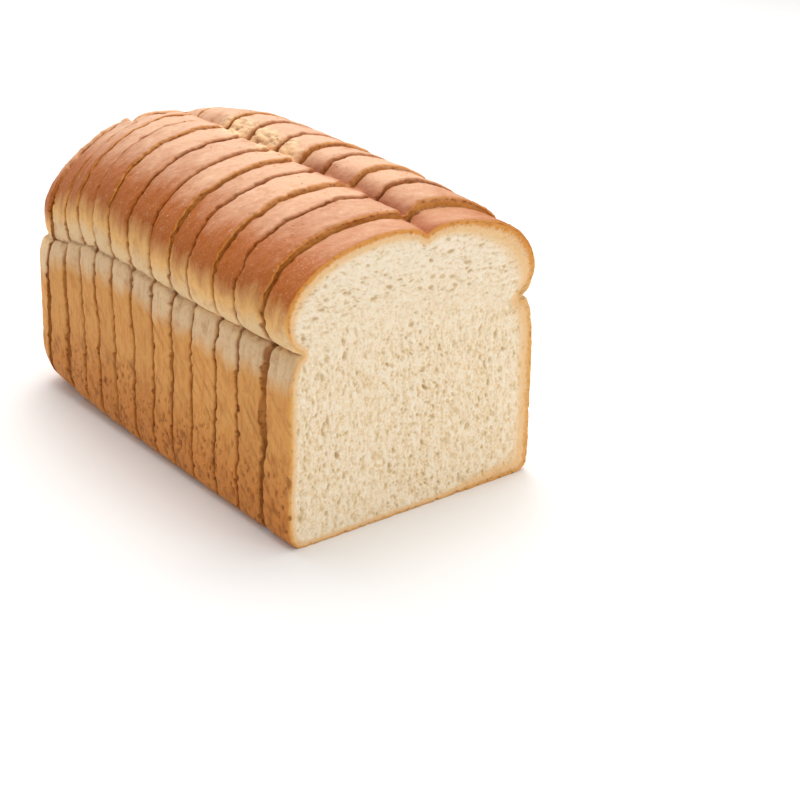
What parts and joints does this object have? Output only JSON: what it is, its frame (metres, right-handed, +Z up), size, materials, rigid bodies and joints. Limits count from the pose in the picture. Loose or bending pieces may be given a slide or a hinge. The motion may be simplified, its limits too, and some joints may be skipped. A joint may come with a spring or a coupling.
{
  "type": "tin loaf",
  "caption": "White tin loaf cut into slices that stand together in the loaf's shape, with a split domed crown, a pinched rim, a flat base and a rounded heel.",
  "frame": {"origin": "middle of the loaf's base, on the surface it stands on", "axes": "+Z up; +Y along the loaf from the cut front slice to the rounded heel; +X to the right, seen from the cut face"},
  "size_m": [0.119, 0.2218, 0.1305],
  "materials": {
    "bread": "baked wheat bread: reddish brown crown, golden sides, cream porous crumb on the cut faces; dry and matt, with a faint soft sheen on the crown"
  },
  "bodies": {
    "root": {"slice_01": "bread", "slice_02": "bread", "slice_03": "bread", "slice_04": "bread", "slice_05": "bread", "slice_06": "bread", "slice_07": "bread", "slice_08": "bread", "slice_09": "bread", "slice_10": "bread", "slice_11": "bread", "slice_12": "bread", "heel": "bread"}
  },
  "joints": []
}
